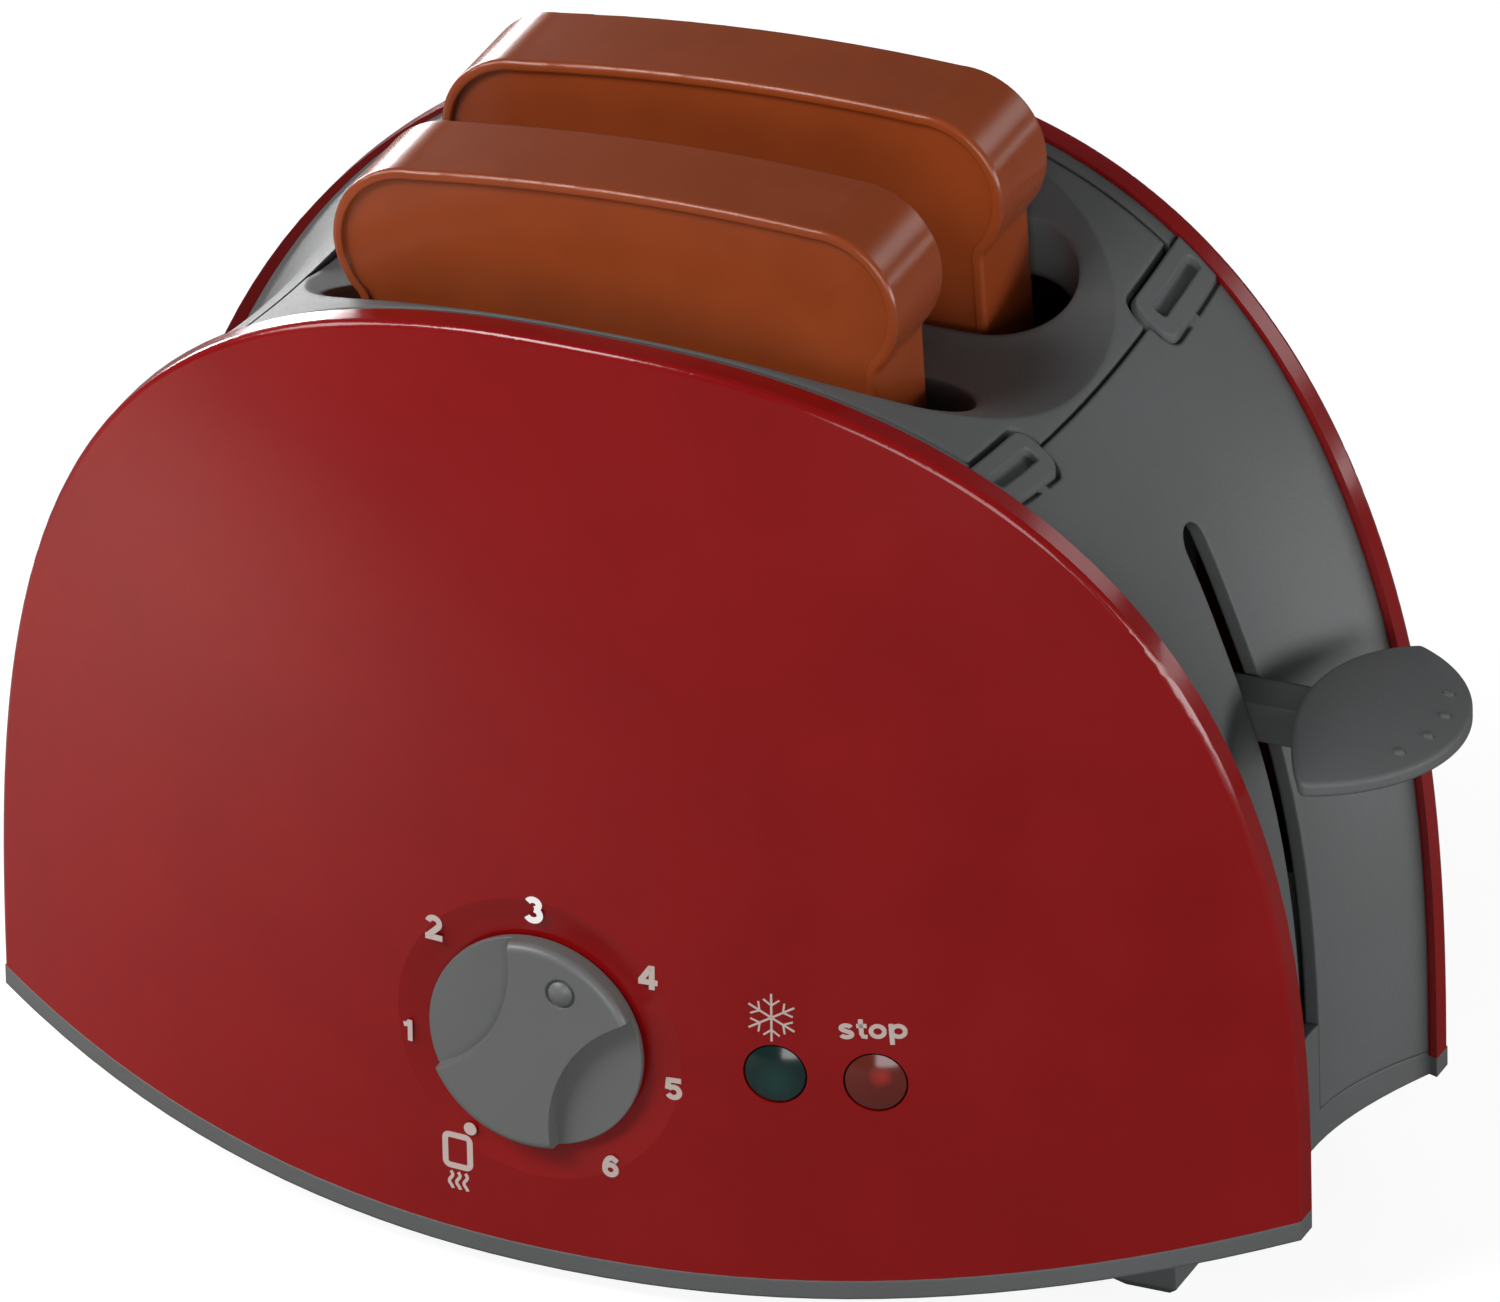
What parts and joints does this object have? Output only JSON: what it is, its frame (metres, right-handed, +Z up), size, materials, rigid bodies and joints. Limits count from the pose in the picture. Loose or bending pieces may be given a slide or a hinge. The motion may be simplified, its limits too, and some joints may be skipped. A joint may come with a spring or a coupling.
{
  "type": "toy toaster",
  "caption": "Play toaster with bowed side panels, a saddle-shaped body, sliding lever, turning knob, push buttons and lift-out slices of toast.",
  "frame": {"origin": "on the ground, under the middle of the whole outline, which reaches from the far end to the lever paddle and from the rear panel to the knob", "axes": "+X towards the lever end, -Y out through the panel with the knob, +Z up"},
  "size_m": [0.256, 0.14, 0.1911],
  "materials": {
    "red_plastic": "gloss",
    "grey_plastic": "satin",
    "knob_plastic": "satin",
    "toast_plastic": "satin",
    "teal_plastic": "gloss",
    "amber_plastic": "gloss",
    "rod_steel": "bright",
    "spring_steel": "bright",
    "screw_steel": "zinc"
  },
  "bodies": {
    "body": {"front_panel": "red_plastic", "rear_panel": "red_plastic", "body_shell": "grey_plastic", "top_cover": "grey_plastic", "base_tray": "grey_plastic", "guide_rod_left": "rod_steel", "guide_rods_right": "rod_steel", "click_spring": "knob_plastic", "click_screw": "screw_steel", "button_bracket": "grey_plastic", "bracket_screws": "screw_steel", "latch_pin": "rod_steel", "base_screws": "screw_steel", "front_panel_screws": "screw_steel", "rear_panel_screws": "screw_steel", "cover_screws": "screw_steel"},
    "carriage": {"carriage": "grey_plastic", "lever_paddle": "grey_plastic", "lift_spring": "spring_steel"},
    "toast_front": {"toast_front": "toast_plastic"},
    "toast_rear": {"toast_rear": "toast_plastic"},
    "knob": {"knob": "knob_plastic", "click_wheel": "knob_plastic", "knob_screw": "screw_steel"},
    "defrost_button": {"defrost_button": "teal_plastic", "defrost_spring": "spring_steel"},
    "stop_button": {"stop_button": "amber_plastic", "stop_spring": "spring_steel"},
    "latch": {"latch": "knob_plastic"}
  },
  "joints": [
    {"name": "lever_slide", "type": "slide", "parent": "body", "child": "carriage", "axis": [0, 0, 1], "range_m": [-0.055, 0.012], "stiffness_N_per_m": 100, "springref_m": 0.0175, "deforming": ["lift_spring"]},
    {"name": "toast_front_lift", "type": "slide", "parent": "carriage", "child": "toast_front", "axis": [0, 0, 1], "range_m": [0, 0.11]},
    {"name": "toast_rear_lift", "type": "slide", "parent": "carriage", "child": "toast_rear", "axis": [0, 0, 1], "range_m": [0, 0.11]},
    {"name": "knob_turn", "type": "hinge", "parent": "body", "child": "knob", "pos_m": [-0.0122, -0.0638, 0.0471], "axis": [0, 1, 0], "range_deg": [-176, 120]},
    {"name": "defrost_press", "type": "slide", "parent": "body", "child": "defrost_button", "axis": [-0.1674, 0.9858, -0.0105], "range_m": [0, 0.0018], "stiffness_N_per_m": 400, "springref_m": -0.001, "deforming": ["defrost_spring"]},
    {"name": "stop_press", "type": "slide", "parent": "body", "child": "stop_button", "axis": [-0.2506, 0.968, -0.0102], "range_m": [0, 0.0018], "stiffness_N_per_m": 400, "springref_m": -0.001, "deforming": ["stop_spring"]},
    {"name": "latch_tilt", "type": "hinge", "parent": "body", "child": "latch", "pos_m": [0.052, -0.0358, 0.057], "axis": [-1, 0, 0], "range_deg": [0, 10]}
  ]
}
